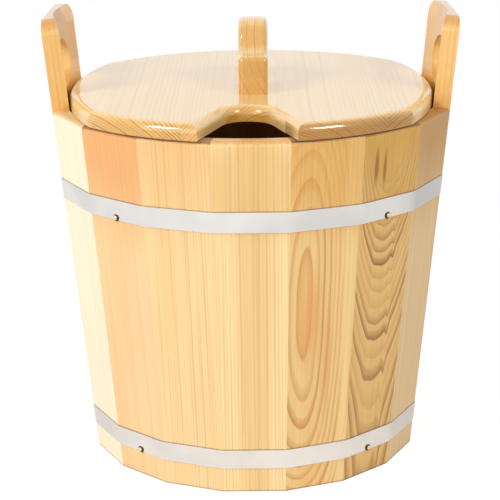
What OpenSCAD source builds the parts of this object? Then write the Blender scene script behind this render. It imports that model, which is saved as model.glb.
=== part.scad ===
// Coopered wooden tub with two ear handles and a lift-off lid that has a spoon notch.
// Millimetres. +Z is up, the front (the notched side of the lid) faces -Y, the ears stand at -X and +X.
// The origin is the centre of the ring on which the staves stand.

/* [Tub] */
// Radius over the stave corners at the rim
rim_r = 185; // [175:0.5:195]
// Radius over the stave corners at the base
base_r = 155.5; // [150:0.5:165]
// Height of the plain staves
tub_h = 324; // [300:1:345]
// Wall thickness along a stave joint
wall = 15.5; // [14.5:0.1:16.5]
// Angle that each plain stave takes up, in degrees
stave_pitch = 20.46; // [20.2:0.01:20.8]
// Rounding of the outer rim edge
rim_round = 4; // [2:0.5:6]

/* [Ears] */
// Height of the ears above the rim
ear_h = 80; // [74:1:90]
// Rounding of the ear's upper corners
ear_corner_r = 15; // [12:1:20]
// Length of the hand hole across the ear
hand_hole_w = 69; // [60:1:74]
// Height of the hand hole
hand_hole_h = 44; // [38:1:46]
// Height of the hand hole's middle above the rim
hand_hole_z = 31; // [28:0.5:34]

/* [Floor] */
// Height of the floor's underside above the ground
floor_z = 30; // [24:1:40]
// Thickness of the floor boards
floor_t = 14; // [12:0.5:18]
// Depth of the groove that holds the floor
croze_depth = 3; // [2.5:0.1:3.4]
// Gap between the floor's edge and the groove
floor_gap = 0.2; // [0.1:0.05:0.4]
// Diameter of the dowels between the floor boards
floor_dowel_d = 6; // [5:0.5:8]
// Length of the dowels between the floor boards
floor_dowel_l = 30; // [24:1:40]
// Distance between the dowels of one floor joint
floor_dowel_pitch = 110; // [90:1:130]

/* [Hoops] */
// Width of the steel bands
hoop_w = 18; // [16:0.5:22]
// Thickness of the steel bands over the stave corners
hoop_t = 1; // [0.8:0.1:1.5]
// Height of the lower band's bottom edge
lower_hoop_z = 23.5; // [14:0.5:40]
// Height of the upper band's bottom edge
upper_hoop_z = 245.5; // [220:0.5:260]
// Length of the lap where the ends of a band overlap
lap_l = 40; // [34:1:46]
// Distance between the two rivets of a lap
rivet_pitch = 22; // [18:1:26]
// Diameter of the rivet shanks
rivet_d = 3; // [2.5:0.1:4]
// Diameter of the rivet heads
rivet_head_d = 6; // [5:0.1:7.5]
// Height of the rivet heads
rivet_head_h = 1.6; // [1.2:0.1:2.2]
// Diameter of the nail shanks
nail_d = 2; // [1.6:0.1:2.6]
// Length of the nails inside the wood
nail_l = 9; // [7:0.5:10]
// Height of the nails above a band's lower edge
nail_up = 2.2; // [1.8:0.1:3]
// Diameter of the nail heads
nail_head_d = 6.4; // [5.6:0.1:8]
// Height of the nail heads
nail_head_h = 2.2; // [1.6:0.1:2.8]

/* [Lid] */
// Thickness of the lid boards
lid_t = 14; // [12:0.5:18]
// Rounding of the lid's upper edge
lid_round = 8; // [5:0.5:10]
// How far the lid's edge stays inside the rim corners
lid_inset = 3.3; // [2:0.1:5]
// Gap between the middle of the lid's side and the ear
lid_side_gap = 5; // [4:0.5:10]
// Radius of the lid's flattened sides
lid_side_r = 290; // [260:5:320]
// Place of the lid's middle, along Y
lid_y = -4; // [-4:0.5:0]
// Width of the inner lid boards
lid_board_w = 85; // [80:1:90]
// Place of the board joint beside the notch, along X
lid_joint_x = 28.5; // [25:0.5:33]
// Place of the notch's middle, along X
notch_x = -3; // [-6:0.5:3]
// Width of the notch at the lid's edge
notch_mouth = 85; // [75:1:95]
// Depth of the notch from the lid's edge
notch_depth = 78.7; // [72:0.1:84]
// Radius of the notch's inner end
notch_r = 22; // [18:0.5:26]
// Diameter of the dowels between the lid boards
lid_dowel_d = 6; // [5:0.5:8]
// Length of the dowels between the lid boards
lid_dowel_l = 30; // [24:1:40]
// Distance between the dowels of one lid joint
lid_dowel_pitch = 85; // [75:1:90]
// Place of the middle dowel of each lid joint, along Y
lid_dowel_y = 20; // [10:1:25]

/* [Battens] */
// Width of the battens under the lid
batten_w = 26; // [22:1:32]
// Thickness of the battens
batten_t = 16; // [12:0.5:20]
// Gap between the ends of the battens and the tub's inside
batten_gap = 8; // [6:0.5:14]
// Distance from the notch to the front batten
batten_setback = 70; // [65:1:72]
// Place of the back batten's middle, along Y
back_batten_y = 66; // [62:1:72]
// Diameter of the batten screws
batten_screw_d = 3.5; // [3:0.1:4.5]
// Depth to which the batten screws enter the lid boards
batten_screw_bite = 9; // [7:0.5:10]

/* [Lid handle] */
// Length of the handle
handle_l = 112; // [108:1:122]
// Width of the handle
handle_w = 26; // [22:0.5:30]
// Height of the handle's ends
handle_end_h = 33.5; // [31:0.5:36]
// Height of the handle's crest
handle_h = 59.5; // [55:0.5:62]
// Length of the flat shoulder at each end
handle_shoulder = 8; // [6:0.5:10]
// Radius of the sweeps between shoulder and crest
handle_sweep_r = 25; // [22:0.5:26]
// Rounding of the upper end corners
handle_end_round = 5; // [3:0.5:8]
// Place of the handle's middle, along X
handle_x = 2; // [-2:0.5:6]
// Distance of the handle's middle from the lid's, along Y
handle_shift = 0; // [-4:0.5:4]
// Length of the finger gap under the handle
finger_l = 52; // [48:1:56]
// Height of the finger gap
finger_h = 27; // [24:0.5:28]
// Rounding of the finger gap's upper corners
finger_r = 19; // [14:0.5:22]
// Diameter of the handle screws
handle_screw_d = 4; // [3.5:0.1:5]
// Length of the handle screws
handle_screw_l = 34; // [28:1:38]

/* [Hidden] */
$fn = 64;

// Clearance round shanks and dowels
fit = 0.05;
// Clearance between the lid's underside and the rim it lies on
lid_seat = 0.05;
// Small overlap that lets a cut pass a face
eps = 1;

// Staves: seven plain ones at the front, seven at the back and a wide ear stave on each side
staves_a_side = 7;
half_plain = stave_pitch / 2;
half_ear = 90 - staves_a_side * half_plain;
plain_angles = [for (i = [0 : staves_a_side - 1]) (i - (staves_a_side - 1) / 2) * stave_pitch];
// The staves that carry the nails, counted from the left, seen from outside
nailed_staves = [1, staves_a_side - 2];

function corner_r(z) = base_r + (rim_r - base_r) * z / tub_h;
function face_x(half, z) = corner_r(z) * cos(half);
function inner_r(z) = corner_r(z) - wall;
function lean(half) = atan((rim_r - base_r) * cos(half) / tub_h);

ear_top = tub_h + ear_h;
ear_half_w = corner_r(ear_top - ear_corner_r) * sin(half_ear);
// Anything beyond these lies outside the tub
reach = 2 * rim_r;
tall = ear_top + ear_h;

// Floor
floor_boards = 4;
groove_r = inner_r(floor_z + floor_t) + croze_depth;
floor_r = groove_r - floor_gap;
floor_board_w = 2 * floor_r / floor_boards;

// Hoops: distance from the wood to the outside of one band, square to a plain stave
hoop_face = hoop_t * cos(half_plain) * cos(lean(half_plain));

// Lid
lid_boards = 4;
lid_r = rim_r - lid_inset;
lid_half_w = inner_r(tub_h) - lid_side_gap;
lid_z = tub_h + lid_seat;
lid_top = lid_z + lid_t;
notch_y = lid_y - lid_r + notch_depth;
notch_centre_y = notch_y - notch_r;
mouth_run = lid_r - lid_y + notch_centre_y;
mouth_reach = sqrt(pow(notch_mouth / 2, 2) + pow(mouth_run, 2));
notch_flank = atan(notch_mouth / 2 / mouth_run) - asin(notch_r / mouth_reach);
// Flanks drawn long enough to pass the lid's edge
flank_l = 2 * mouth_run;

// Battens
front_batten_y = notch_y + batten_setback + batten_w / 2;
batten_z = lid_z - batten_t;
function batten_half_l(y) = sqrt(pow(inner_r(batten_z) - batten_gap, 2) - pow(abs(y) + batten_w / 2, 2));
function joint_x(k) = lid_joint_x + (k - lid_boards / 2) * lid_board_w;
// One screw in the middle of each board, and in the outer boards midway to the batten's end
function batten_screw_xs(y) = concat(
    [(joint_x(1) - batten_half_l(y)) / 2],
    [for (k = [1 : lid_boards - 2]) joint_x(k) + lid_board_w / 2],
    [(joint_x(lid_boards - 1) + batten_half_l(y)) / 2]
);

// Lid handle: a sweep joins each shoulder to the crest, half hollow and half round
handle_y = lid_y + handle_shift;
sweep_rise = handle_h - handle_end_h;
sweep_run = sqrt(sweep_rise * (4 * handle_sweep_r - sweep_rise));
// The crest's round is a little larger, so that it crosses the hollow and doesn't only touch it
crest_r = handle_sweep_r + 0.05;
foot_l = (handle_l - finger_l) / 2;
foot_ys = [handle_y - (handle_l - foot_l) / 2, handle_y + (handle_l - foot_l) / 2];

// Frames

// Turns +X to face the way that a stave at this angle from the front faces
module at_angle(a) {
    rotate([0, 0, a - 90]) children();
}

// Sets +X square to the outer face of a stave, at a height on its middle line
module on_face(a, half, z) {
    at_angle(a) translate([face_x(half, z), 0, z]) rotate([0, lean(half), 0]) children();
}

// Extrudes an outline drawn as radius and height, centred on the stave's middle
module radial_plate(w) {
    rotate([90, 0, 0]) linear_extrude(height = w, center = true) children();
}

module wedge(half) {
    linear_extrude(height = tall) polygon([[0, 0], [reach, -reach * tan(half)], [reach, reach * tan(half)]]);
}

// A cylinder along +X from x0 to x1
module rod(r, x0, x1) {
    translate([x0, 0, 0]) rotate([0, 90, 0]) cylinder(r = r, h = x1 - x0);
}

// A pin along +X, from x0 to a domed head that sits at the given place
module pin(d, x0, head_d, head_h, seat) {
    ball_r = (head_d * head_d / 4 + head_h * head_h) / (2 * head_h);
    rotate([0, 90, 0]) rotate_extrude() {
        translate([0, x0]) square([d / 2, seat - x0 + head_h / 2]);
        intersection() {
            translate([0, seat + head_h - ball_r]) circle(r = ball_r);
            translate([0, seat]) square([head_d, head_h]);
        }
    }
}

// Staves

// The waste outside the rounded rim edge
module rim_waste(half) {
    tilt = lean(half);
    c = [face_x(half, tub_h - rim_round) - rim_round / cos(tilt), tub_h - rim_round];
    out = 2 * rim_round * [cos(tilt), -sin(tilt)];
    difference() {
        polygon([c, c + out, c + out + [rim_round, 3 * rim_round], c + [0, 3 * rim_round]]);
        translate(c) circle(r = rim_round);
    }
}

module stave_section(half, top) {
    polygon([[0, 0], [face_x(half, 0), 0], [face_x(half, top), top], [0, top]]);
}

// The round inside of the tub and the groove for the floor
module tub_inside() {
    rotate_extrude($fn = 128)
        polygon([[0, -eps], [inner_r(-eps), -eps], [inner_r(tall), tall], [0, tall]]);
    translate([0, 0, floor_z]) cylinder(r = groove_r, h = floor_t, $fn = 128);
}

module nail_bores(a) {
    for (z = [lower_hoop_z, upper_hoop_z])
        on_face(a, half_plain, z + nail_up) rod(nail_d / 2 + fit, -nail_l - fit, eps);
}

module plain_stave(a, nailed) {
    color("burlywood") difference() {
        at_angle(a) intersection() {
            wedge(half_plain);
            radial_plate(rim_r) difference() {
                stave_section(half_plain, tub_h);
                rim_waste(half_plain);
            }
        }
        tub_inside();
        if (nailed) nail_bores(a);
    }
}

// What the round upper corners take off an ear: they run along its slanting edges
module ear_corners() {
    deep = 4 * wall;
    // The round crosses the top and the edge and doesn't only touch them
    inset = ear_corner_r - 0.15;
    for (side = [0, 1])
        mirror([0, side, 0]) translate([0, ear_half_w - inset / cos(half_ear), ear_h - inset])
            rotate([0, 0, half_ear]) difference() {
                translate([-deep / 2, 0, 0]) cube([deep, 2 * ear_corner_r, 2 * ear_corner_r]);
                rod(ear_corner_r, -deep, deep);
            }
}

module hand_hole() {
    end_r = hand_hole_h / 2;
    straight = hand_hole_w / 2 - end_r;
    translate([0, 0, hand_hole_z]) {
        translate([-2 * wall, -straight, -end_r]) cube([4 * wall, 2 * straight, hand_hole_h]);
        for (side = [-1, 1]) translate([0, side * straight, 0]) rod(end_r, -2 * wall, 2 * wall);
    }
}

module ear_stave(a) {
    color("sandybrown") difference() {
        intersection() {
            at_angle(a) wedge(half_ear);
            at_angle(a) radial_plate(rim_r) stave_section(half_ear, tall);
            on_face(a, half_ear, tub_h) translate([-reach, -reach, -tall])
                cube([2 * reach, 2 * reach, tall + ear_h]);
        }
        tub_inside();
        on_face(a, half_ear, tub_h) {
            ear_corners();
            hand_hole();
        }
    }
}

// Floor

module floor_dowel_rods(r, l) {
    for (k = [1 : floor_boards - 1], side = [-1, 1])
        translate([(k - floor_boards / 2) * floor_board_w, side * floor_dowel_pitch / 2, floor_z + floor_t / 2])
            rod(r, -l / 2, l / 2);
}

module floor_board(i) {
    color("wheat") difference() {
        intersection() {
            translate([0, 0, floor_z]) cylinder(r = floor_r, h = floor_t, $fn = 128);
            translate([i * floor_board_w - floor_r, -reach, 0]) cube([floor_board_w, 2 * reach, tub_h]);
        }
        floor_dowel_rods(floor_dowel_d / 2 + fit, floor_dowel_l + 2 * fit);
    }
}

module floor_dowels() {
    color("tan") floor_dowel_rods(floor_dowel_d / 2, floor_dowel_l);
}

// Hoops

// Everything inside the flat faces of the staves, moved out by a thickness, between two heights
module stave_core(out, z0, z1) {
    intersection_for (side = concat(
        [for (a = plain_angles, turn = [0, 180]) [a + turn, half_plain]],
        [for (a = [-90, 90]) [a, half_ear]]
    )) {
        half = side[1];
        at_angle(side[0]) radial_plate(2 * reach) polygon([
            [-reach, z0],
            [face_x(half, z0) + out * cos(half), z0],
            [face_x(half, z1) + out * cos(half), z1],
            [-reach, z1]
        ]);
    }
}

// The end of the band that laps over the outside at the back
module hoop_lap(z) {
    step = hoop_t * cos(half_plain);
    at_angle(180) radial_plate(lap_l) polygon([
        [face_x(half_plain, z) - wall, z],
        [face_x(half_plain, z) + 2 * step, z],
        [face_x(half_plain, z + hoop_w) + 2 * step, z + hoop_w],
        [face_x(half_plain, z + hoop_w) - wall, z + hoop_w]
    ]);
}

// Places children at the two rivets of a band
module at_rivets(z) {
    for (side = [-1, 1])
        on_face(180, half_plain, z + hoop_w / 2) translate([0, side * rivet_pitch / 2, 0]) children();
}

// Places children at the four nails of a band, on the wood behind it
module at_nails(z) {
    for (i = nailed_staves, turn = [0, 180])
        on_face(plain_angles[i] + turn, half_plain, z + nail_up) children();
}

module hoop(z) {
    color("silver") difference() {
        union() {
            stave_core(hoop_t, z, z + hoop_w);
            hoop_lap(z);
        }
        stave_core(0, z - eps, z + hoop_w + eps);
        at_rivets(z) rod(rivet_d / 2 + fit, -eps, 2 * hoop_face + eps);
        at_nails(z) rod(nail_d / 2 + fit, -eps, hoop_face + eps);
    }
}

module hoop_rivets() {
    color("gainsboro") for (z = [lower_hoop_z, upper_hoop_z])
        at_rivets(z) pin(rivet_d, 0, rivet_head_d, rivet_head_h, 2 * hoop_face);
}

module hoop_nails(z) {
    color("peru") at_nails(z) pin(nail_d, -nail_l, nail_head_d, nail_head_h, hoop_face);
}

// Lid

// A round plate with a rounded upper edge
module puck(r) {
    rotate_extrude($fn = 128) difference() {
        square([r, lid_t]);
        difference() {
            translate([r - lid_round, lid_t - lid_round]) square(2 * lid_round);
            translate([r - lid_round, lid_t - lid_round]) circle(r = lid_round);
        }
    }
}

module lid_blank() {
    translate([0, 0, lid_z]) intersection() {
        translate([0, lid_y, 0]) puck(lid_r);
        translate([lid_half_w - lid_side_r, 0, 0]) puck(lid_side_r);
        translate([lid_side_r - lid_half_w, 0, 0]) puck(lid_side_r);
    }
}

// The waste above a rounded edge, drawn with the edge's wall at x = 0 and wood on its +X side
module edge_waste() {
    difference() {
        translate([-eps, lid_t - lid_round]) square([lid_round + eps, lid_round + eps]);
        translate([lid_round, lid_t - lid_round]) circle(r = lid_round);
    }
}

// Places children at the middle of the notch's round inner end, on the lid's underside
module at_notch() {
    translate([notch_x, notch_centre_y, lid_z]) children();
}

// The notch's section square to its wall at x = 0: the opening on the -X side, and the rounding's waste
module notch_section() {
    translate([-notch_r, -eps]) square([notch_r, lid_t + 2 * eps]);
    edge_waste();
}

// The round inner end of the notch
module notch_end() {
    at_notch() rotate([0, 0, notch_flank]) rotate_extrude(angle = 180 - 2 * notch_flank)
        translate([notch_r, 0]) notch_section();
}

// The flank that lies at this angle round the notch's middle, drawn back from this end
module notch_side(angle, end) {
    at_notch() rotate([0, 0, angle]) translate([notch_r, end, 0])
        rotate([90, 0, 0]) linear_extrude(height = flank_l) notch_section();
}

// What is left between the flanks
module notch_middle() {
    half = flank_l * sin(notch_flank) + notch_r / 2;
    at_notch() translate([0, 0, -eps]) linear_extrude(height = lid_t + 2 * eps)
        polygon([[0, notch_r / 2], [half, -flank_l], [-half, -flank_l]]);
}

module lid_dowel_rods(r, l) {
    for (k = [1 : lid_boards - 1], row = [-1, 0, 1])
        translate([joint_x(k), lid_dowel_y + row * lid_dowel_pitch, lid_z + lid_t / 2]) rod(r, -l / 2, l / 2);
}

module lid_board(i) {
    x0 = i == 0 ? -reach : joint_x(i);
    x1 = i == lid_boards - 1 ? reach : joint_x(i + 1);
    color("navajowhite") difference() {
        intersection() {
            lid_blank();
            translate([x0, -reach, 0]) cube([x1 - x0, 2 * reach, tall]);
        }
        notch_middle();
        notch_end();
        notch_side(notch_flank, 0);
        notch_side(180 - notch_flank, flank_l);
        lid_dowel_rods(lid_dowel_d / 2 + fit, lid_dowel_l + 2 * fit);
        batten_screws(fit);
        handle_screws(fit);
    }
}

module lid_dowels() {
    color("tan") lid_dowel_rods(lid_dowel_d / 2, lid_dowel_l);
}

// Battens under the lid, and their screws

// A wood screw that points up, with the face of its sunk head at z = 0, enlarged by a clearance
module wood_screw(d, l, grow) {
    translate([0, 0, grow > 0 ? -eps : 0]) cylinder(r = d / 2 + grow, h = l + grow + (grow > 0 ? eps : 0));
    cylinder(r1 = d + grow, r2 = d / 2 + grow, h = d / 2);
}

module batten_screws(grow) {
    for (y = [front_batten_y, back_batten_y], x = batten_screw_xs(y))
        translate([x, y, batten_z]) wood_screw(batten_screw_d, batten_t + batten_screw_bite, grow);
}

module batten(y) {
    color("wheat") difference() {
        translate([-batten_half_l(y), y - batten_w / 2, batten_z])
            cube([2 * batten_half_l(y), batten_w, batten_t]);
        batten_screws(fit);
    }
}

module lid_batten_screws() {
    color("silver") batten_screws(0);
}

// Lid handle

// One half of the handle's outline, from the end to the middle, in the YZ plane
module handle_half() {
    end_y = -handle_l / 2;
    sweep_y = end_y + handle_shoulder;
    crest_y = sweep_y + sweep_run;
    low = handle_end_h - handle_end_round;
    translate([end_y, 0]) square([handle_l / 2, low]);
    translate([end_y + handle_end_round, 0]) square([handle_l / 2 - handle_end_round, handle_end_h]);
    translate([end_y + handle_end_round, low]) circle(r = handle_end_round);
    difference() {
        translate([sweep_y, low]) square([-sweep_y, handle_end_h + sweep_rise / 2 - low]);
        translate([sweep_y, handle_end_h + handle_sweep_r]) circle(r = handle_sweep_r);
    }
    intersection() {
        translate([sweep_y, low]) square([-sweep_y, handle_h]);
        translate([crest_y, handle_h - crest_r]) circle(r = crest_r);
    }
    translate([crest_y, low]) square([-crest_y, handle_h - low]);
}

module finger_gap() {
    translate([-finger_l / 2, -eps]) square([finger_l, finger_h - finger_r + eps]);
    translate([-finger_l / 2 + finger_r, -eps]) square([finger_l - 2 * finger_r, finger_h + eps]);
    for (side = [-1, 1])
        translate([side * (finger_l / 2 - finger_r), finger_h - finger_r]) circle(r = finger_r);
}

module handle_screws(grow) {
    for (y = foot_ys) translate([handle_x, y, lid_z]) wood_screw(handle_screw_d, handle_screw_l, grow);
}

module lid_handle() {
    color("goldenrod") difference() {
        translate([handle_x, handle_y, lid_top]) rotate([90, 0, 90])
            linear_extrude(height = handle_w, center = true) difference() {
                union() {
                    handle_half();
                    mirror([1, 0]) handle_half();
                }
                finger_gap();
            }
        handle_screws(fit);
    }
}

module lid_handle_screws() {
    color("silver") handle_screws(0);
}

for (i = [0 : staves_a_side - 1]) {
    nailed = i == nailed_staves[0] || i == nailed_staves[1];
    plain_stave(plain_angles[i], nailed);
    plain_stave(plain_angles[i] + 180, nailed);
}
ear_stave(-90);  // ear_stave_left
ear_stave(90);  // ear_stave_right
for (i = [0 : floor_boards - 1])
    floor_board(i);
floor_dowels();
hoop(lower_hoop_z);  // lower_hoop
hoop(upper_hoop_z);  // upper_hoop
hoop_rivets();
hoop_nails(lower_hoop_z);  // lower_hoop_nails
hoop_nails(upper_hoop_z);  // upper_hoop_nails
for (i = [0 : lid_boards - 1])
    lid_board(i);
lid_dowels();
batten(front_batten_y);  // lid_front_batten
batten(back_batten_y);  // lid_back_batten
lid_batten_screws();
lid_handle();
lid_handle_screws();
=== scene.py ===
# Looks of the lidded wooden tub: eased wood, varnish, polished bands and studio light.
# Metres. +Z is up and the notched front of the lid faces -Y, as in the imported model.
import math

import bmesh
import bpy
from mathutils import Matrix, Vector


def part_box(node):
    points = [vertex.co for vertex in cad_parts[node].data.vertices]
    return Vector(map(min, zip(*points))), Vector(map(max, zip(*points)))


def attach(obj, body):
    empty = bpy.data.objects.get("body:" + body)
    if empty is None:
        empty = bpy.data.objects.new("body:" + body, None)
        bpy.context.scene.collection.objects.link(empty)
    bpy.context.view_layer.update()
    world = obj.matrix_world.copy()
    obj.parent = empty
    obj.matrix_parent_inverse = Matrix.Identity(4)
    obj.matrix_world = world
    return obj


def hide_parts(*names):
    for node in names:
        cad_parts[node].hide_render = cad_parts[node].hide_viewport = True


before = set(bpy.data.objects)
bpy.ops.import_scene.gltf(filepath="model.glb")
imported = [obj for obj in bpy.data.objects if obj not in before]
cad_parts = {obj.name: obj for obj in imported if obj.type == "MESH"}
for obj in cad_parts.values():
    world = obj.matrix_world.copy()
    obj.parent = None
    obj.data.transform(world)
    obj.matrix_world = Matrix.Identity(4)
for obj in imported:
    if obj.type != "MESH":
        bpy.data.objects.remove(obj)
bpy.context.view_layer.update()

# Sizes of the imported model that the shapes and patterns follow
RIM_R = 0.185
BASE_R = 0.1555
TUB_H = 0.324
STAVE_PITCH = math.radians(20.46)
STAVES_A_SIDE = 7
HALF_PLAIN = STAVE_PITCH / 2
HALF_EAR = math.pi / 2 - STAVES_A_SIDE * HALF_PLAIN
LID_TOP = 0.33805
LID_T = 0.014
HANDLE_X = 0.002
HANDLE_HALF_W = 0.013
HANDLE_Y = -0.004
FINGER_GAP_HALF_W = 0.026
FINGER_GAP_H = 0.027
BAND_TOPS = (0.0415, 0.2635)
# Numbers of the staves, at the front and at the back, on which the edge of the lid lies, and whose rims get
# painted shade under it
UNDER_LID = (2, 3, 5, 6)

# Widths of the roundings
STAVE_EASE = 0.00035
EAR_ROUND = 0.0015
LID_UNDER_ROUND = 0.0012
HANDLE_ROUND = 0.0045
FINGER_GAP_ROUND = 0.0005
BAND_BEND_ROUND = 0.0045

# Corners this near are one, and faces this thin are none
SAME_SPOT = 0.000002
NO_FACE = 0.00002
# Turns in degrees up to which faces count as one flat face, or are shaded smooth
FLAT_TURN = 0.3
SMOOTH_WOOD_TURN = 32
SMOOTH_BAND_TURN = 15
# Shorter edges belong to bores and roundings
LONG_EDGE = 0.004
BORE_EDGE = 0.0016

# Painted shade, as thin dark strips of contact shade: the distances at which each starts and is full,
# from the base, from the top of a band, from the rim and from the outer face
BASE_SHADE_LINE = (0.0016, 0.0006)
BAND_SHADE_LINE = (0.0011, 0.0004)
RIM_SHADE_LINE = (0.0035, 0.0015)
SHADE_LINE_DEPTH = (0.001, 0.0003)


# Shader building

class Value:
    """One output of a node. Arithmetic on it adds Math nodes."""

    def __init__(self, nodes, socket):
        self.nodes = nodes
        self.socket = socket

    def math(self, operation, first, second=None):
        inputs = {0: first} if second is None else {0: first, 1: second}
        return self.nodes.node("ShaderNodeMath", {"operation": operation}, inputs)

    def __add__(self, other):
        return self.math("ADD", self, other)

    def __radd__(self, other):
        return self.math("ADD", other, self)

    def __sub__(self, other):
        return self.math("SUBTRACT", self, other)

    def __rsub__(self, other):
        return self.math("SUBTRACT", other, self)

    def __mul__(self, other):
        return self.math("MULTIPLY", self, other)

    def __rmul__(self, other):
        return self.math("MULTIPLY", other, self)

    def __truediv__(self, other):
        return self.math("DIVIDE", self, other)

    def __pow__(self, other):
        return self.math("POWER", self, other)

    def larger(self, other):
        return self.math("MAXIMUM", self, other)

    def fraction(self):
        return self.math("FRACT", self)

    def whole(self):
        return self.math("FLOOR", self)

    def size(self):
        return self.math("ABSOLUTE", self)


class Nodes:
    """The nodes of a material or of the world."""

    def __init__(self, owner):
        owner.use_nodes = True
        self.tree = owner.node_tree

    def node(self, kind, settings=None, inputs=None, output=0):
        node = self.tree.nodes.new(kind)
        for key, value in (settings or {}).items():
            if key == "stops":
                set_stops(node.color_ramp, value)
            else:
                setattr(node, key, value)
        for key, value in (inputs or {}).items():
            self.feed(node.inputs[key], value)
        return Value(self, node.outputs[output])

    def feed(self, socket, value):
        if isinstance(value, Value):
            self.tree.links.new(value.socket, socket)
        else:
            socket.default_value = value

    def parts(self, vector):
        """The three numbers of a vector."""
        split = self.node("ShaderNodeSeparateXYZ", inputs={"Vector": vector}).socket.node
        return [Value(self, split.outputs[axis]) for axis in "XYZ"]

    def vector(self, x, y, z):
        return self.node("ShaderNodeCombineXYZ", inputs={"X": x, "Y": y, "Z": z})

    def grey(self, value):
        return self.vector(value, value, value)

    def noise(self, vector, scale, detail=2.0, roughness=0.5):
        return self.node("ShaderNodeTexNoise", {}, {
            "Vector": vector, "Scale": scale, "Detail": detail, "Roughness": roughness})

    def ramp(self, value, stops):
        return self.node("ShaderNodeValToRGB", {"stops": stops}, {"Fac": value})

    def range(self, value, low, high, to_low=0.0, to_high=1.0):
        return self.node("ShaderNodeMapRange", {"interpolation_type": "SMOOTHSTEP"}, {
            "Value": value, "From Min": low, "From Max": high, "To Min": to_low, "To Max": to_high})

    def mix(self, first, second, factor, blend="MIX"):
        return self.node("ShaderNodeMix", {"data_type": "RGBA", "blend_type": blend},
                         {0: factor, 6: first, 7: second}, output=2)

    def seen_white(self, direct_share=1.0, gloss_share=1.0):
        """How white a thing is seen by the camera, and in gloss or through glass."""
        path = self.node("ShaderNodeLightPath").socket.node
        direct, gloss, through = (
            Value(self, path.outputs["Is %s Ray" % kind]) for kind in ("Camera", "Glossy", "Transmission"))
        return (direct_share * direct).larger(gloss_share * gloss.larger(through))


class Finish(Nodes):
    """A material with a Principled surface."""

    def __init__(self, name, constants):
        self.material = bpy.data.materials.new(name)
        super().__init__(self.material)
        self.surface = self.tree.nodes["Principled BSDF"]
        for socket, value in constants.items():
            self.surface.inputs[socket].default_value = value

    def put(self, socket, value):
        self.feed(self.surface.inputs[socket], value)

    def place(self):
        return self.node("ShaderNodeTexCoord", output="Object")

    def facing(self):
        return self.node("ShaderNodeTexCoord", output="Normal")

    def bump(self, height, strength, distance):
        self.put("Normal", self.node("ShaderNodeBump", {}, {
            "Height": height, "Strength": strength, "Distance": distance}))


def set_stops(ramp, stops):
    ramp.interpolation = "EASE"
    while len(ramp.elements) < len(stops):
        ramp.elements.new(1.0)
    for element, (position, level) in zip(ramp.elements, stops):
        element.position = position
        element.color = (level, level, level, 1.0)


def tone(red, green, blue):
    """A colour given as 0 to 255 on a screen, as the shader wants it."""
    def linear(level):
        level /= 255
        return level / 12.92 if level <= 0.04045 else ((level + 0.055) / 1.055) ** 2.4
    return (linear(red), linear(green), linear(blue), 1.0)


# Wood

def on_stave(finish, angle, half):
    """Places on a stave: to the right, in from its outer face, up, and how far the grain is cut across."""
    turned = finish.node("ShaderNodeMapping", {"vector_type": "TEXTURE"}, {
        "Vector": finish.place(), "Rotation": (0, 0, angle - math.pi / 2)})
    out, across, up = finish.parts(turned)
    slope = (RIM_R - BASE_R) / TUB_H * math.cos(half)
    depth = BASE_R * math.cos(half) + slope * up - out
    return across, depth, up, finish.parts(finish.facing())[2].size()


def on_lid(finish, middle, top=LID_TOP):
    """Places on a lid board: to the right, down from its top, to the back, and how far the grain is cut."""
    right, back, up = finish.parts(finish.place())
    return right - middle, top - up, back, finish.parts(finish.facing())[1].size()


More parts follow.
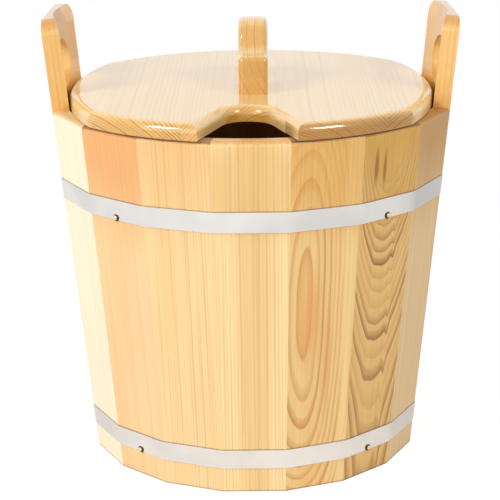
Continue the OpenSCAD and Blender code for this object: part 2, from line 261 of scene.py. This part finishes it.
def wood(name, place, board, gloss):
    """Varnished softwood with growth rings round a heart line, sawn as the board says."""
    finish = Finish(name, {
        "Specular IOR Level": 0.4,
        "Coat Roughness": gloss["coat_roughness"],
        "Coat IOR": gloss["coat_ior"]})
    across, depth, along, cut = place(finish)
    seed = board["seed"]

    # Rings round the heart, bent by a slow wander and by kinks that run along the board
    bent = finish.vector(across + seed, depth * 1.5 + seed, along * board["wander_stretch"])
    wander = finish.noise(bent, board["wander_scale"])
    side = across - board["heart"][0] - board.get("drift", 0.0) * along
    if "steep" in board:
        side = side.larger(side * board["steep"])
    far = board["heart"][1] + board.get("rise", 0.0) * along - depth
    if "bow" in board:
        bow, middle = board["bow"]
        far = far + bow * (along - middle) * (along - middle)
    radius = (side * side + far * far) ** 0.5 + board["wander"] * (wander - 0.5)
    for middle, half, amount in board.get("kinks", ()):
        radius = radius - amount * finish.range((across - middle).size(), half, 0.0)
    count = radius / board["ring"]
    uneven = finish.noise(finish.vector(count * 0.31 + seed, seed, 0.0), 1.0, 1.0)
    count = count + board.get("uneven", 1.2) * uneven

    # Each ring darkens slowly from its early wood and ends sharply
    late_from = board.get("late_from", 0.45)
    late = finish.ramp(count.fraction(), [
        (0.0, 0.08), (late_from, 0.10), (0.6 * late_from + 0.36, 0.55), (0.90, 1.0), (1.0, 0.08)])
    chance = finish.node("ShaderNodeTexWhiteNoise", {"noise_dimensions": "1D"}, {"W": count.whole() + seed})
    ring = late * (0.2 + 0.8 * chance)
    if "core" in board:
        ring = ring * finish.range(radius, *board["core"])

    # Fibres and broad changes of tone run along the grain
    fibre = finish.noise(finish.vector(across * 700.0, depth * 700.0, along * 9.0 + seed), 1.0, 3.0, 0.6)
    streak = finish.noise(finish.vector(across * 520.0 + seed, depth * 520.0, along * 2.2), 1.0, 1.0)
    broad = finish.noise(finish.vector(across * 28.0 + seed, depth * 28.0, along * 3.0), 1.0)

    crossed = finish.range(cut, 0.2, 0.8)
    ring_share = board["contrast"] + board.get("end_contrast", 0.0) * crossed
    colour = finish.mix(board["early"], board["late"], ring * ring_share)
    colour = finish.mix(colour, board["heartwood"], finish.range(broad, 0.45, 0.75) * 0.5)
    # A patch is a mark in the wood's own tone, or painted shade where it darkens the top of a stave
    for patch_across, patch_along, half_w, half_h, patch_tone, strength in board.get("grain_and_shade_patches", ()):
        over = (across - patch_across) / half_w
        up = (along - patch_along) / half_h
        reach = (over * over + up * up) ** 0.5 + 0.9 * (wander - 0.5)
        colour = finish.mix(colour, patch_tone, strength * finish.range(reach, 1.0, 0.3))
    colour = finish.mix(colour, finish.grey(finish.range(fibre, 0.25, 0.75, 0.94, 1.04)), 1.0, "MULTIPLY")
    streak_depth = board.get("streaks", 0.05)
    colour = finish.mix(
        colour, finish.grey(finish.range(streak, 0.34, 0.48, 1.0 - streak_depth, 1.0)), 1.0, "MULTIPLY")
    colour = finish.mix(colour, board["end_tone"], crossed, "MULTIPLY")
    # Painted shade: a dark brown strip of contact shade above the bands, along the base and under the lid's
    # edge
    if "painted_shade" in board:
        colour = finish.mix(colour, tone(70, 44, 20), board["painted_shade"](finish, depth, along))
    finish.put("Base Color", colour)
    finish.put("Roughness", gloss["roughness"] + 0.12 * (fibre - 0.5))
    finish.put("Coat Weight", gloss["coat"] - 0.1 * ring)
    finish.bump(ring * 0.5 + fibre, gloss["bump"], 0.0003)
    return finish.material


def painted_band_shade(finish, depth, along):
    """Painted shade: thin dark strips of contact shade above each band and along the base."""
    painted_shade = finish.range(along, *BASE_SHADE_LINE)
    for top in BAND_TOPS:
        above = finish.range(along, top - 0.001, top)
        painted_shade = painted_shade + finish.range(along, *(top + height for height in BAND_SHADE_LINE)) * above
    return painted_shade * finish.range(depth, *SHADE_LINE_DEPTH) * 0.55


def painted_rim_shade(finish, depth, along):
    """The same, and painted shade darkening the rim's rounding under the lid's edge."""
    rim = finish.range(along, *(TUB_H - height for height in RIM_SHADE_LINE))
    return painted_band_shade(finish, depth, along).larger(rim * 0.6)


SATIN = {"roughness": 0.42, "coat": 0.35, "coat_roughness": 0.18, "coat_ior": 1.5, "bump": 0.10}
GLOSSY = {"roughness": 0.35, "coat": 1.0, "coat_roughness": 0.05, "coat_ior": 1.6, "bump": 0.05}
PLANED = {"roughness": 0.6, "coat": 0.15, "coat_roughness": 0.3, "coat_ior": 1.5, "bump": 0.12}

# Boards: heart, ring, kink and patch places are metres across, into and along the board. The wide patch
# high on each of staves 2 to 7, centred 0.285 to 0.34 m up, is painted shade that darkens the top of the
# stave
STRAIGHT = {"wander": 0.0022, "wander_scale": 22.0, "wander_stretch": 0.08, "end_tone": tone(236, 214, 184)}
STAVE_BOARDS = {
    "stave_front_1": {
        **STRAIGHT, "heart": (-0.30, 0.20), "ring": 0.0050, "contrast": 0.22, "seed": 1.3,
        "early": tone(252, 238, 204), "late": tone(244, 218, 168), "heartwood": tone(250, 232, 192)},
    "stave_front_2": {
        **STRAIGHT, "heart": (-0.07, 0.16), "ring": 0.0075, "contrast": 0.45, "seed": 2.1,
        "early": tone(250, 208, 152), "late": tone(236, 172, 104), "heartwood": tone(250, 192, 132),
        # Painted shade: the top of the stave darker
        "grain_and_shade_patches": [(0.0, 0.33, 0.08, 0.13, tone(232, 158, 84), 0.75)]},
    "stave_front_3": {
        **STRAIGHT, "heart": (0.16, 0.09), "drift": 0.012, "ring": 0.0023, "contrast": 0.6, "seed": 3.7,
        "late_from": 0.6, "streaks": 0.12,
        "early": tone(250, 212, 154), "late": tone(226, 166, 98), "heartwood": tone(248, 202, 140),
        # Painted shade: the top of the stave darker
        "grain_and_shade_patches": [(0.0, 0.34, 0.10, 0.14, tone(236, 184, 112), 0.7)]},
    "stave_front_4": {
        **STRAIGHT, "heart": (0.19, 0.10), "ring": 0.0026, "contrast": 0.55, "seed": 4.4,
        "late_from": 0.6, "streaks": 0.12,
        "early": tone(252, 219, 160), "late": tone(222, 172, 100), "heartwood": tone(238, 196, 128),
        "grain_and_shade_patches": [(0.002, 0.17, 0.02, 0.5, tone(224, 178, 108), 0.45),
                    # Painted shade: the top of the stave darker
                    (0.0, 0.285, 0.10, 0.05, tone(232, 186, 112), 0.7)]},
    "stave_front_5": {
        "heart": (-0.015, 0.016), "steep": 1.2, "bow": (0.90, 0.175), "ring": 0.0044,
        "core": (0.012, 0.022),
        "wander": 0.0070, "wander_scale": 16.0, "wander_stretch": 0.4, "contrast": 0.95, "seed": 5.9,
        "early": tone(243, 204, 134), "late": tone(200, 128, 54), "heartwood": tone(234, 174, 98),
        "end_tone": STRAIGHT["end_tone"],
        "grain_and_shade_patches": [(-0.010, 0.165, 0.020, 0.075, tone(230, 160, 86), 0.7),
                    (0.006, 0.13, 0.006, 0.09, tone(222, 150, 76), 0.5),
                    (0.024, 0.16, 0.010, 0.5, tone(246, 210, 142), 0.8),
                    # Painted shade: the top of the stave darker
                    (0.0, 0.33, 0.10, 0.12, tone(224, 168, 84), 0.7)]},
    "stave_front_6": {
        "heart": (-0.001, 0.068), "rise": -0.039, "bow": (-0.4625, 0.0), "ring": 0.0028,
        "core": (0.016, 0.030),
        "kinks": [(0.0125, 0.0035, 0.0012), (-0.012, 0.006, 0.0004)], "uneven": 0.6, "late_from": 0.3,
        "wander": 0.003, "wander_scale": 26.0, "wander_stretch": 0.5, "contrast": 1.0, "seed": 6.6,
        "early": tone(233, 188, 114), "late": tone(158, 102, 42), "heartwood": tone(220, 168, 94),
        "end_tone": STRAIGHT["end_tone"],
        # Painted shade: the top of the stave darker
        "grain_and_shade_patches": [(0.0, 0.33, 0.08, 0.10, tone(208, 156, 58), 0.8),
                    (-0.017, 0.293, 0.0035, 0.024, tone(156, 96, 24), 0.9),
                    (-0.007, 0.291, 0.0030, 0.024, tone(156, 96, 24), 0.9)]},
    "stave_front_7": {
        **STRAIGHT, "heart": (0.26, 0.16), "ring": 0.0044, "contrast": 0.45, "seed": 7.2,
        "early": tone(232, 196, 140), "late": tone(198, 152, 84), "heartwood": tone(222, 178, 112),
        # Painted shade: the top of the stave darker
        "grain_and_shade_patches": [(0.0, 0.33, 0.10, 0.14, tone(184, 128, 40), 0.8)]},
}
EAR_BOARD = {
    **STRAIGHT, "heart": (0.02, 0.22), "ring": 0.0048, "contrast": 0.35,
    "early": tone(238, 188, 106), "late": tone(214, 150, 66), "heartwood": tone(230, 170, 84)}
LID_BOARD = {
    "wander": 0.006, "wander_scale": 14.0, "wander_stretch": 0.25, "ring": 0.0024, "contrast": 0.30,
    "end_contrast": 0.90, "streaks": 0.03,
    "early": tone(248, 209, 140), "late": tone(174, 122, 44), "heartwood": tone(240, 190, 112),
    "end_tone": tone(232, 210, 150)}
LID_BOARDS = {
    "lid_board_1": {"heart": (-0.040, 0.110)},
    "lid_board_2": {"heart": (0.055, 0.090), "end_contrast": 0.45},
    # Painted shade: the darker end tone of boards 3 and 4 darkens the right side of the lid's edge, as the
    # light falls from the left
    "lid_board_3": {"heart": (-0.055, 0.090), "end_contrast": 0.45, "end_tone": tone(192, 160, 76)},
    "lid_board_4": {"heart": (0.040, 0.110), "end_tone": tone(192, 160, 76)}}
HANDLE_BOARD = {
    "heart": (0.07, -0.046), "wander": 0.003, "wander_scale": 40.0, "wander_stretch": 0.3, "ring": 0.0022,
    "contrast": 0.8, "seed": 31.0,
    "early": tone(246, 206, 134), "late": tone(190, 142, 62), "heartwood": tone(234, 188, 108),
    "end_tone": tone(228, 208, 164)}
INNER_BOARD = dict(LID_BOARD, heart=(0.01, 0.05), seed=41.0)
# Added to a front stave's seed for the back stave that it is the pattern of
BACK_SEED = 11.0


# Modelling

def select_only(piece):
    bpy.ops.object.select_all(action="DESELECT")
    piece.select_set(True)
    bpy.context.view_layer.objects.active = piece


def merged_copy(node, name):
    """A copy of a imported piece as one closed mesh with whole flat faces."""
    piece = bpy.data.objects.new(name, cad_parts[node].data.copy())
    bpy.context.scene.collection.objects.link(piece)
    piece.data.materials.clear()
    select_only(piece)
    bpy.ops.object.mode_set(mode="EDIT")
    bpy.ops.mesh.select_all(action="SELECT")
    bpy.ops.mesh.remove_doubles(threshold=SAME_SPOT)
    bpy.ops.mesh.customdata_custom_splitnormals_clear()
    bpy.ops.mesh.dissolve_limited(angle_limit=math.radians(FLAT_TURN))
    bpy.ops.object.mode_set(mode="OBJECT")
    return piece


def round_edges(piece, belongs, width, segments, clamp=True):
    """Rounds the edges that belongs picks, by their two ends and how far the outside turns there."""
    select_only(piece)
    bpy.ops.object.mode_set(mode="EDIT")
    bpy.ops.mesh.select_mode(type="EDGE")
    bpy.ops.mesh.select_all(action="DESELECT")
    shape = bmesh.from_edit_mesh(piece.data)
    for edge in shape.edges:
        if len(edge.link_faces) == 2:
            start, end = (corner.co for corner in edge.verts)
            edge.select = belongs(start, end, math.degrees(edge.calc_face_angle_signed()))
    bmesh.update_edit_mesh(piece.data)
    bpy.ops.mesh.bevel(
        offset=width, segments=segments, affect="EDGES", clamp_overlap=clamp, loop_slide=False)
    bpy.ops.object.mode_set(mode="OBJECT")


def smooth(piece):
    """Smooth shading over roundings, with the flat faces beside them kept flat."""
    select_only(piece)
    bpy.ops.object.mode_set(mode="EDIT")
    bpy.ops.mesh.select_all(action="SELECT")
    bpy.ops.mesh.dissolve_degenerate(threshold=NO_FACE)
    bpy.ops.object.mode_set(mode="OBJECT")
    bpy.ops.object.shade_smooth_by_angle(angle=math.radians(SMOOTH_WOOD_TURN))
    flat = piece.modifiers.new("flat_faces", "WEIGHTED_NORMAL")
    flat.keep_sharp = True
    bpy.ops.object.modifier_apply(modifier=flat.name)


def long_edge(start, end, turn):
    return turn > SMOOTH_WOOD_TURN and (start - end).length > LONG_EDGE


def ease(piece, width, belongs=long_edge):
    """Takes the sharpness off edges that are left, as sanding does."""
    round_edges(piece, belongs, width, 2)
    smooth(piece)


def hand_over(piece, node, body, material):
    piece.data.materials.append(material)
    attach(piece, body)
    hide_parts(node)


def stave_angle(node):
    side, number = node.rsplit("_", 2)[1:]
    angle = (int(number) - (STAVES_A_SIDE + 1) / 2) * STAVE_PITCH
    return angle if side == "front" else angle + math.pi


# Staves
for node, board in STAVE_BOARDS.items():
    back = node.replace("front", "back")
    for stave in (node, back):
        angle = stave_angle(stave)
        look = dict(board, painted_shade=painted_rim_shade if int(stave[-1]) in UNDER_LID else painted_band_shade)
        if stave == back:
            look["seed"] = board["seed"] + BACK_SEED
        piece = merged_copy(stave, stave + "_eased")
        ease(piece, STAVE_EASE)
        finish = wood("varnished_" + stave, lambda f: on_stave(f, angle, HALF_PLAIN), look, SATIN)
        hand_over(piece, stave, "tub", finish)


# Ears
def above_rim(start, end, turn):
    return min(start.z, end.z) > TUB_H + 0.002 and turn > 40


for node, angle, seed in (("ear_stave_left", -math.pi / 2, 8.3), ("ear_stave_right", math.pi / 2, 9.1)):
    piece = merged_copy(node, node + "_eased")
    round_edges(piece, above_rim, EAR_ROUND, 3)
    smooth(piece)
    look = dict(EAR_BOARD, seed=seed, painted_shade=painted_band_shade)
    finish = wood("varnished_" + node, lambda f: on_stave(f, angle, HALF_EAR), look, GLOSSY)
    hand_over(piece, node, "tub", finish)


# Lid
def under_lid(start, end, turn):
    flat = max(start.z, end.z) < LID_TOP - LID_T + 0.0001
    on_joint = abs(start.x - end.x) < 0.00001 and abs(start.y - end.y) > 0.02
    in_bore = (start - end).length < BORE_EDGE
    return flat and turn > 60 and not on_joint and not in_bore


for number, (node, board) in enumerate(LID_BOARDS.items()):
    low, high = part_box(node)
    piece = merged_copy(node, node + "_eased")
    round_edges(piece, under_lid, LID_UNDER_ROUND, 3)
    smooth(piece)
    finish = wood("varnished_" + node, lambda f: on_lid(f, (low.x + high.x) / 2),
                  {**LID_BOARD, **board, "seed": 20.0 + number}, GLOSSY)
    hand_over(piece, node, "lid", finish)


# Lid handle
def in_gap(spot):
    return abs(spot.y - HANDLE_Y) < FINGER_GAP_HALF_W + 0.001 and spot.z < LID_TOP + FINGER_GAP_H + 0.001


def on_side(start, end, turn):
    beside = min(abs(spot.x - HANDLE_X) for spot in (start, end)) > HANDLE_HALF_W - 0.0002
    return beside and turn > 60 and (start + end).z / 2 > LID_TOP + 0.002


def handle_outline(start, end, turn):
    return on_side(start, end, turn) and not in_gap((start + end) / 2)


def gap_outline(start, end, turn):
    return on_side(start, end, turn) and in_gap((start + end) / 2)


piece = merged_copy("lid_handle", "lid_handle_eased")
round_edges(piece, handle_outline, HANDLE_ROUND, 4, clamp=False)
ease(piece, FINGER_GAP_ROUND, gap_outline)
finish = wood("varnished_lid_handle", lambda f: on_lid(f, HANDLE_X), HANDLE_BOARD, GLOSSY)
hand_over(piece, "lid_handle", "lid", finish)


# Metal

def polished_steel(name):
    """Polished strip with slight waves and faint clouds of tone."""
    finish = Finish(name, {"Metallic": 1.0})
    spot = finish.place()
    drawn = finish.node("ShaderNodeMapping", {}, {"Vector": spot, "Scale": (6, 6, 400)})
    rolled = finish.noise(drawn, 1.0, 3.0)
    cloudy = finish.noise(spot, 18.0)
    clouds = finish.range(cloudy, 0.3, 0.7)
    finish.put("Base Color", finish.mix(tone(228, 224, 219), tone(242, 238, 233), clouds))
    finish.put("Roughness", 0.10 + 0.03 * rolled + 0.05 * cloudy)
    finish.bump(cloudy, 0.03, 0.002)
    return finish.material


def aged_brass(name):
    """Brass nails, polished on the crown and dark round the rim of the head."""
    finish = Finish(name, {"Metallic": 1.0})
    spot = finish.place()
    worn = finish.noise(spot, 900.0, 3.0)
    x, y = finish.parts(spot)[:2]
    facing_x, facing_y = finish.parts(finish.facing())[:2]
    outward = (x * facing_x + y * facing_y) / (x * x + y * y) ** 0.5
    crown = finish.range(outward + 0.1 * (worn - 0.5), 0.72, 0.97)
    finish.put("Base Color", finish.mix(tone(84, 56, 24), tone(246, 228, 196), crown))
    finish.put("Roughness", 0.14 + 0.2 * worn)
    return finish.material


def bend(start, end, turn):
    return abs(start.z - end.z) > 0.010 and 12 < turn < 45


def dress(nodes, material):
    for node in nodes:
        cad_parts[node].data.materials.clear()
        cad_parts[node].data.materials.append(material)


steel = polished_steel("polished_band_steel")
for node in ("lower_hoop", "upper_hoop"):
    piece = merged_copy(node, node + "_eased")
    round_edges(piece, bend, BAND_BEND_ROUND, 4)
    bpy.ops.object.shade_smooth_by_angle(angle=math.radians(SMOOTH_BAND_TURN))
    hand_over(piece, node, "tub", steel)
dress(("hoop_rivets", "lid_batten_screws", "lid_handle_screws"), steel)
dress(("lower_hoop_nails", "upper_hoop_nails"), aged_brass("aged_nail_brass"))

# Inner wood
inner = wood("planed_inner_wood", lambda f: on_lid(f, 0.0, 0.05), INNER_BOARD, PLANED)
dress(("floor_board_1", "floor_board_2", "floor_board_3", "floor_board_4", "floor_dowels", "lid_dowels",
       "lid_front_batten", "lid_back_batten"), inner)


# Stage

FLOOR_SIZE = 8.0
# How bright the white paper floor glows, and what share of it the camera sees
PAPER_GLOW = 1.08
DIRECT_SHARE = 0.85
# The share that gloss sees falls from left to right, within this reach of the middle
GLOSS_SHARES = (0.5, 0.0)
GLOSS_REACH = 0.5
WORLD_LIGHT = 0.5


def softbox(name, place, aim, size, watts):
    lamp = bpy.data.lights.new(name, "AREA")
    lamp.size = size
    lamp.energy = watts
    holder = bpy.data.objects.new(name, lamp)
    holder.location = place
    holder.rotation_euler = (Vector(aim) - Vector(place)).to_track_quat("-Z", "Y").to_euler()
    bpy.context.scene.collection.objects.link(holder)


bpy.ops.object.select_all(action="DESELECT")
bpy.ops.mesh.primitive_plane_add(size=FLOOR_SIZE)
floor = bpy.context.object
floor.name = "studio_floor"
paper = Finish("studio_floor", {"Base Color": (0.85, 0.85, 0.85, 1.0), "Roughness": 0.9})
glow = paper.node("ShaderNodeEmission", inputs={"Strength": PAPER_GLOW})
lit = Value(paper, paper.surface.outputs[0])
to_right = paper.parts(paper.place())[0]
gloss_share = paper.range(to_right, -GLOSS_REACH, GLOSS_REACH, *GLOSS_SHARES)
seen = paper.node("ShaderNodeMixShader", inputs={
    0: paper.seen_white(DIRECT_SHARE, gloss_share), 1: lit, 2: glow})
paper.feed(paper.tree.nodes["Material Output"].inputs["Surface"], seen)
floor.data.materials.append(paper.material)

bpy.context.scene.world = bpy.data.worlds.new("studio")
air = Nodes(bpy.context.scene.world)
background = air.tree.nodes["Background"]
background.inputs["Color"].default_value = (1.0, 1.0, 1.0, 1.0)
air.feed(background.inputs["Strength"], WORLD_LIGHT + (1.0 - WORLD_LIGHT) * air.seen_white())

softbox("broad_softbox", (-1.60, -1.70, 0.90), (0, 0, 0.2), 1.6, 14.0)
softbox("left_softbox", (-1.55, -1.10, 1.70), (0, 0, 0.2), 0.6, 18.0)
softbox("right_softbox", (1.45, -1.35, 1.70), (0, 0, 0.2), 0.6, 18.0)

# Camera
ELEVATION = math.radians(17.6034)
ROLL = math.radians(0.593)
YAW = math.radians(0.229)
DISTANCE = 1.46254
AIM = Vector((0, 0, 0.1643))
FOCAL_PIXELS = 1539.8
FRAME_PIXELS = 500.0
AXIS_PIXEL = (252.99, 262.52)
forward = Vector((0, math.cos(ELEVATION), -math.sin(ELEVATION)))
right = Vector((1, 0, 0))
upward = right.cross(forward)
rolled_right = math.cos(ROLL) * right - math.sin(ROLL) * upward
rolled_up = math.sin(ROLL) * right + math.cos(ROLL) * upward
spin = Matrix.Rotation(YAW, 3, "Z")
axes = Matrix((spin @ rolled_right, spin @ rolled_up, spin @ -forward)).transposed()
lens = bpy.data.cameras.new("photo_camera")
lens.sensor_width = 36.0
lens.lens = FOCAL_PIXELS * lens.sensor_width / FRAME_PIXELS
lens.shift_x = (FRAME_PIXELS / 2 - AXIS_PIXEL[0]) / FRAME_PIXELS
lens.shift_y = (AXIS_PIXEL[1] - FRAME_PIXELS / 2) / FRAME_PIXELS
camera = bpy.data.objects.new("photo_camera", lens)
camera.matrix_world = Matrix.Translation(spin @ (AIM - DISTANCE * forward)) @ axes.to_4x4()
bpy.context.scene.collection.objects.link(camera)
bpy.context.scene.camera = camera

bpy.context.scene.view_settings.view_transform = "Standard"
